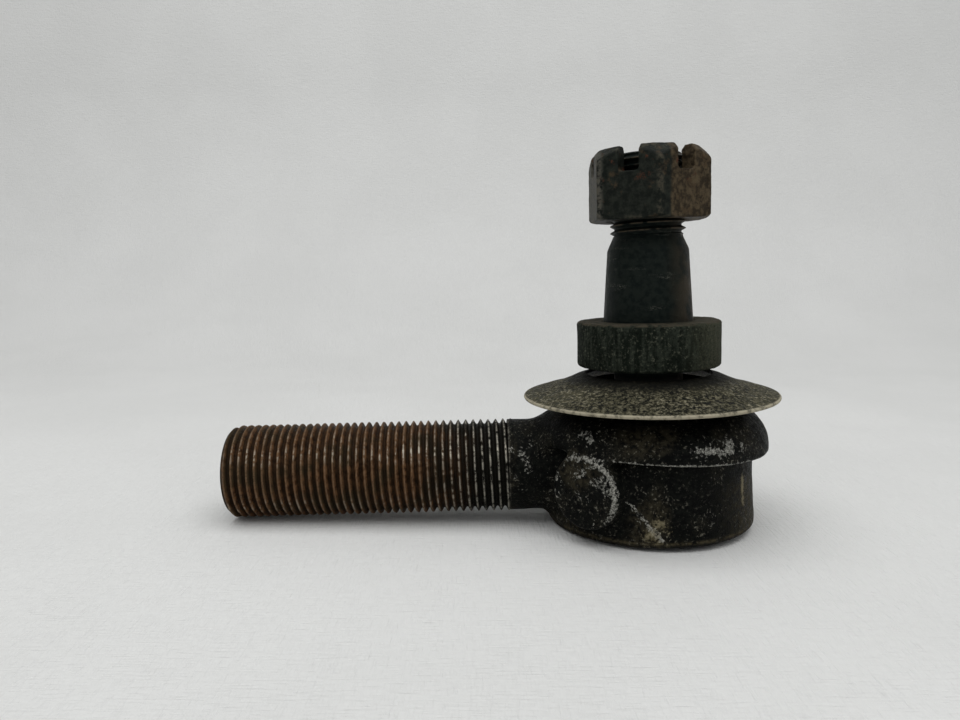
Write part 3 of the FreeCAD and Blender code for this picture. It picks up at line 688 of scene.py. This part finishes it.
def housing_marks(piece):
    """Where the paint is worn off, where dust sticks, and where glints are painted on the thread's crests."""
    points = points_of(piece)
    x, y, z = points.T
    reach, side, off = pad_coordinates(x, y, z)
    radius = np.hypot(x, y)
    angle = np.degrees(np.arctan2(y, x))  # -90 faces the camera, 0 is away from the shank
    on_pad = step_up(reach, PAD_REACH - 1.8, PAD_REACH - 0.9)
    upper_right = step_up((z - PAD_LEVEL) - side * 1.2, -3.0, 7.0)
    pad_rim = on_pad * near(off, PAD_RADIUS - 0.7, 1.5) * (0.12 + 0.88 * upper_right)
    pad_face = on_pad * 0.48 * step_up(waves(points, 4.0, 21), -0.1, 0.6)
    pad_face *= step_up(z, PAD_LEVEL - 5.0, PAD_LEVEL + 1.0)

    foot_line = near(z, flange_foot(x) + 0.35, 0.55) * step_up(radius, 26.3, 26.8)
    foot_line *= near(angle, -82, 44) ** 0.3 * (y < 0)
    flange_patch = near(angle, -69, 17) ** 0.7 * near(z, 2.9, 3.2) * (radius > 24)
    shoulder = near(angle, -131, 13) * near(z, 5.2, 4.6) * (radius > 20)
    streak_middle = -118 - (z + 5.5) * 2.02
    spread = 2.6 + 1.6 * waves(points, 4.0, 35) + 2.0 * step_up(-z, 9.0, 16.0)
    streak = near(angle, streak_middle, spread) * (radius < 26) * (y < 0)
    streak *= step_up(-z, 4.0, 6.5) * (1 - step_up(-z, 16.8, 17.8))
    neck = near(x, -29.5, 3.4) * near(z, 1.4, 3.4) * step_up(-y, 3.0, 6.0)
    lumps = 0.5 + 0.5 * waves(points, 3.2, 33)
    worn = np.maximum.reduce([
        0.78 * pad_rim, pad_face, 0.85 * foot_line, flange_patch * lumps * 1.7,
        0.8 * shoulder * lumps * 1.2, 0.72 * streak, 0.60 * neck * lumps,
    ])
    triangle = near(angle, -97, 4.0 + 0.9 * (-z - 9.0)) ** 0.6 * near(z, -14.6, 4.6) ** 0.6
    triangle *= (radius < 26) * (y < 0)
    right_streak = near(angle, -43, 3.5) * step_up(-z, 4.0, 6.0) * (1 - step_up(-z, 11.0, 13.0))
    mark(piece, "olive", np.maximum(triangle * (0.4 + lumps * 0.6), 0.8 * right_streak * (radius < 26)))
    speckle = 0.22 * step_up(waves(points, 6.0, 55), 0.35, 1.0)
    mark(piece, "worn", np.maximum(worn, speckle))

    right = step_up(angle, -70, -35) * step_up(-z, 4.0, 8.0) * (y < 8)
    foot = near(z, BASE + 1.3, 0.6) * (radius > 22)
    under = 0.22 * step_up(waves(points, 12.0, 61), 0.2, 1.0)
    mark(piece, "dusty", np.maximum.reduce([0.30 * right, 0.6 * foot, under]))

    # bands on the front of the shank, mostly its upper front, where glints are painted on the crests
    turn = np.degrees(np.arctan2(z - SHANK_LEVEL, -y))
    band = near(turn, 33, 17) + 0.5 * near(turn, 58, 14) + 0.35 * near(turn, -35, 25)
    mark(piece, "rubbed", band * (0.35 + 0.65 * step_up(waves(points, 9.0, 71), -0.4, 0.6)))


def make_housing():
    """Socket, neck, pad and threaded shank as one piece."""
    step = 0.34
    low = (-34.5, -32.0, BASE - 1.2)
    high = (FLANGE_RADIUS + 1.5, 29.0, SOCKET_HIGH[2] + 1.2)
    socket = skin(socket_field(*space(low, high, step)), low, step)
    piece = make_piece(
        "housing_forging", [socket, shank_parts()], "socket", "housing",
        housing_look(), rough=housing_roughness,
    )
    housing_marks(piece)


def make_stud():
    """Ball, neck, flare, taper, relief and threaded end of the stud."""
    taper_foot, taper_top = 20.9, 44.7
    ball, ball_flat, neck_radius = 14.5, 10.5, 8.0
    flat = math.degrees(math.asin(ball_flat / ball))
    neck = math.degrees(math.acos(neck_radius / ball))
    below = [(0.0, -ball_flat), *arc((0, 0), ball, -flat, neck, 40), (neck_radius, 17.6)]
    below += arc((11.9, 17.2), 3.9, 174, 128, 8)
    big, small = 10.82, 9.36
    below += [(big - 0.4, 20.75), (big, taper_foot + 0.35)]
    for part in (0.25, 0.5, 0.75, 1):
        below.append((big - (big - small) * part, taper_foot + (taper_top - taper_foot) * part))
    root = 7.95
    below += [(9.15, 45.3), (8.15, 47.5), (8.0, 47.85), (root, STUD_THREAD_FOOT)]
    crest, depth = 8.63, 0.97
    top = STUD_HIGH[2] - 0.02

    def shape(height, radius):
        radius = np.minimum(radius, root + (height - STUD_THREAD_FOOT))
        return np.minimum(radius, 7.5 + (top - height))

    above = [(7.5, top), (2.0, top), (1.6, top - 0.5), (0.0, top - 1.8)]
    part = threaded_grid(
        below, above, STUD_THREAD_FOOT, top - 0.01, crest, STUD_PITCH, depth, shape
    )
    piece = make_piece(
        "stud_forged", [part], "stud", "ball_stud", stud_look(),
        rough=lambda points: 0.02 * waves(points, 3.0, 12) - 0.02,
    )
    cut_pin_hole(piece)


def cut_pin_hole(piece):
    """Cross hole for a split pin, through the slots of the nut."""
    mount = MOUNTS["pin_hole"]
    work = bmesh.new()
    bmesh.ops.create_cone(
        work, cap_ends=True, segments=40, depth=30 * MM,
        radius1=mount["dims"]["r_mm"] * MM, radius2=mount["dims"]["r_mm"] * MM,
    )
    turn = Vector((0, 0, 1)).rotation_difference(Vector(mount["axis"])).to_matrix().to_4x4()
    work.transform(Matrix.Translation(mount["pos_m"]) @ turn)
    mesh = bpy.data.meshes.new("drill")
    work.to_mesh(mesh)
    work.free()
    drill = bpy.data.objects.new("drill", mesh)
    bpy.context.scene.collection.objects.link(drill)
    cut = piece.modifiers.new("pin_hole", "BOOLEAN")
    cut.object = drill
    cut.operation = "DIFFERENCE"
    cut.solver = "EXACT"
    shape = bpy.data.meshes.new_from_object(piece.evaluated_get(bpy.context.evaluated_depsgraph_get()))
    piece.modifiers.clear()
    piece.data = shape
    shape.set_sharp_from_angle(angle=math.radians(35))
    bpy.data.objects.remove(drill)


NUT_FLAT = 12.7  # axis to flat
NUT_BORE_RADIUS = 8.95
NUT_THREAD_DEPTH = 0.25  # shallow, so that it clears the stud's thread as the nut turns
NUT_LEAD = 0.9
NUT_SLOT_DEPTH = 5.65
NUT_SLOT_SIDE = 2.3  # middle of a slot to its side


def nut_field(x, y, z):
    """Distance to the slotted nut. z is measured from its underside."""
    height = NUT_HIGH[2] - NUT_LOW[2]
    hexagon = np.full(x.shape, -99.0, dtype=np.float32)
    for side in range(6):
        turn = math.radians(60 * side) + CLOCK
        hexagon = smooth_max(hexagon, x * math.cos(turn) + y * math.sin(turn) - NUT_FLAT, 0.25)
    radius = np.hypot(x, y)
    top_cone = (radius - NUT_FLAT + 0.5) * 0.72 + (z - height + 0.5) * 0.69
    foot_cone = (radius - NUT_FLAT - 0.2) * 0.40 - z * 0.92
    solid = smooth_max(hexagon, top_cone, 0.35)
    solid = smooth_max(solid, foot_cone, 0.25)
    solid = smooth_max(solid, np.maximum(z - height + 0.04, 0.04 - z), 0.25)
    angle = np.arctan2(y, x)
    phase = ((z + NUT_LOW[2] - STUD_THREAD_FOOT) / STUD_PITCH - angle / (2 * math.pi)) % 1.0
    bore = NUT_BORE_RADIUS - NUT_THREAD_DEPTH * (0.5 + 0.5 * np.cos(2 * math.pi * (phase - 0.5))) ** 1.5
    entry = np.maximum(0, np.maximum(NUT_LEAD - z, z - height + NUT_LEAD))
    solid = smooth_max(solid, bore + entry - radius, 0.12)
    floor = height - NUT_SLOT_DEPTH
    cut = 6.0  # half of the cutting box's height, which runs out of the top
    for slot in range(3):
        turn = math.radians(60 * slot) + CLOCK
        across = -x * math.sin(turn) + y * math.cos(turn)
        deep = rounded_box(across, z - floor - cut, NUT_SLOT_SIDE, cut, 0.8)
        solid = smooth_max(solid, -deep, 0.3)
    return solid


def make_nut():
    step = 0.2
    low = (-15.6, -15.6, -0.6)
    high = (15.6, 15.6, NUT_HIGH[2] - NUT_LOW[2] + 0.6)
    corners, faces = skin(nut_field(*space(low, high, step)), low, step)
    corners[:, 2] += NUT_LOW[2]
    piece = make_piece(
        "nut_slotted", [(corners, faces)], "nut", "castle_nut", nut_look(),
        sharp=60, rough=lambda points: 0.035 * waves(points, 3.5, 15) + 0.02 * waves(points, 1.2, 16) - 0.03,
    )
    points = points_of(piece)
    x, y, z = points.T
    top = step_up(z, NUT_HIGH[2] - 2.2, NUT_HIGH[2] - 0.6)
    ridge = np.maximum.reduce([
        step_up(np.hypot(x, y), 14.0, 14.5), 0.7 * top, 0.8 * near(z, NUT_LOW[2] + 0.3, 0.8),
    ])
    mark(piece, "worn", ridge)


def make_ring():
    """Rubber ring, a little slack round the taper."""
    outer = RING_HIGH[0] - 0.05
    low, high = RING_LOW[2], RING_HIGH[2]
    edge = 0.8
    foot_hole, top_hole = 11.1, 10.46
    profile = [(foot_hole, low + 0.2)]
    profile += arc((outer - edge, low + edge + 0.05), edge, -90, 0, 6)
    profile += [(outer + 0.02, low + (high - low) * part) for part in (0.3, 0.5, 0.7)]
    profile += arc((outer - edge, high - edge - 0.03), edge, 0, 90, 6)
    profile += [(top_hole + 0.5, high - 0.05), (top_hole, high - 0.5)]
    for part in (0.35, 0.65):
        profile.append((top_hole + (foot_hole - top_hole) * part, high - (high - low) * part))
    profile.append(profile[0])
    make_piece(
        "ring_seal", [lathe_grid(profile, 200)], "ring", "rubber_ring", ring_look(),
        sharp=50,
        rough=lambda points: (0.06 * waves(points, 7.0, 18) + 0.03 * waves(points, 2.0, 19) - 0.06)
        * (np.hypot(points[:, 0], points[:, 1]) > 12),
    )


def make_cover():
    """Dished sheet cover: shallow rim, steeper cone, flatter crown."""
    sheet = 0.9
    rim = COVER_HIGH[0]
    low = COVER_LOW[2]
    hole = 14.7
    bend = (rim - 4.8, low + 0.95)
    crown = (16.5, low + 4.25)
    under = [(hole + 0.05, low + 4.85), (crown[0] + 0.6, crown[1] - 0.1), (crown[0] + 3, crown[1] - 1.2)]
    under += [(bend[0] + 1.2, bend[1] + 0.05), (bend[0] - 1.2, bend[1] + 0.5)][::-1]
    under += [(bend[0] + 3.0, low + 0.34), (rim - 0.55, low + 0.04)]
    edge_round = 0.42
    edge = arc((rim - edge_round, low + sheet / 2), edge_round, -80, 80, 7)
    over = [(radius, height + sheet) for radius, height in under[::-1]]
    profile = under + edge + over
    profile.append(profile[0])
    make_piece(
        "cover_dished", [lathe_grid(profile, 240)], "cover", "dust_cover", cover_look(),
        sharp=40,
    )


def paint_cad():
    """Materials of the CAD nodes that stay as they are."""
    ground = bright_steel_look("seat_steel", (0.20, 0.195, 0.18), (0.42, 0.41, 0.385), 0.4)
    rolled = bright_steel_look("plate_steel", (0.075, 0.065, 0.050), (0.17, 0.15, 0.12), 0.8)
    wire = bright_steel_look("spring_steel", (0.06, 0.06, 0.055), (0.20, 0.19, 0.18), 0.5)
    looks = {
        "upper_ball_seat": ground, "lower_ball_seat": ground,
        "pressure_plate": rolled, "end_plate": rolled, "spring": wire,
    }
    for name, material in looks.items():
        mesh = frame["nodes"][name].data
        mesh.materials.clear()
        mesh.materials.append(material)


# ---------------------------------------------------------------- stage

FLOOR_TILT = math.radians(1.73)  # the part leans on the tip of its shank
FLOOR_POINT = (-0.1007, 0.0, -0.0166)  # under the tip of the shank, in metres


def make_floor():
    """Pale cloth that rises behind the object in one soft curve."""
    front, bend, top, side = -1.2, 0.25, 1.6, 1.8
    flat_rows = 8
    turn = np.linspace(0.12, 1.45, 14)
    depth = np.concatenate([np.linspace(front, bend, flat_rows), bend + bend * np.sin(turn), [2 * bend]])
    rise = np.concatenate([np.zeros(flat_rows), bend * (1 - np.cos(turn)), [top]])
    rows = [[(x, y, z) for x in (-side, side)] for y, z in zip(depth, rise)]
    mesh = bpy.data.meshes.new("floor")
    mesh.from_pydata([corner for row in rows for corner in row], [], grid_faces(len(rows), 2).tolist())
    mesh.shade_smooth()
    mesh.materials.append(floor_look())
    floor = bpy.data.objects.new("floor", mesh)
    bpy.context.scene.collection.objects.link(floor)
    floor.matrix_world = Matrix.Translation(FLOOR_POINT) @ Matrix.Rotation(FLOOR_TILT, 4, "Y")


def make_light(name, place, target, size, power):
    data = bpy.data.lights.new(name, "AREA")
    data.shape = "RECTANGLE"
    data.size, data.size_y = size
    data.energy = power
    lamp = bpy.data.objects.new(name, data)
    lamp.location = place
    lamp.rotation_euler = (Vector(target) - Vector(place)).to_track_quat("-Z", "Y").to_euler()
    bpy.context.scene.collection.objects.link(lamp)


def make_lights():
    world = bpy.data.worlds.new("studio")
    world.use_nodes = True
    world.node_tree.nodes["Background"].inputs["Color"].default_value = (1.0, 1.0, 1.0, 1.0)
    world.node_tree.nodes["Background"].inputs["Strength"].default_value = 0.34
    bpy.context.scene.world = world
    make_light("overhead", (-0.02, -0.22, 0.80), (-0.02, -0.08, 0), (1.2, 0.9), 6.6)
    make_light("front", (0.30, -0.70, 0.55), (0, 0, 0), (0.5, 0.3), 0.5)


CAMERA_PLACE = (-0.03715, -0.17535, 0.04136)
CAMERA_FORWARD = Vector((-0.01594, 0.99257, -0.12059))
CAMERA_UP = Vector((0.02848, 0.12101, 0.99223))


def make_camera():
    data = bpy.data.cameras.new("camera")
    data.sensor_width = 36.0
    data.lens = 27.75
    data.clip_start = 0.01
    camera = bpy.data.objects.new("camera", data)
    back = -CAMERA_FORWARD.normalized()
    right = CAMERA_UP.cross(back).normalized()
    up = back.cross(right)
    turn = Matrix((right, up, back)).transposed().to_4x4()
    camera.matrix_world = Matrix.Translation(CAMERA_PLACE) @ turn
    bpy.context.scene.collection.objects.link(camera)
    bpy.context.scene.camera = camera
    bpy.context.scene.view_settings.view_transform = "Standard"


make_camera()
make_floor()
make_lights()
make_housing()
make_stud()
make_nut()
make_ring()
make_cover()
paint_cad()
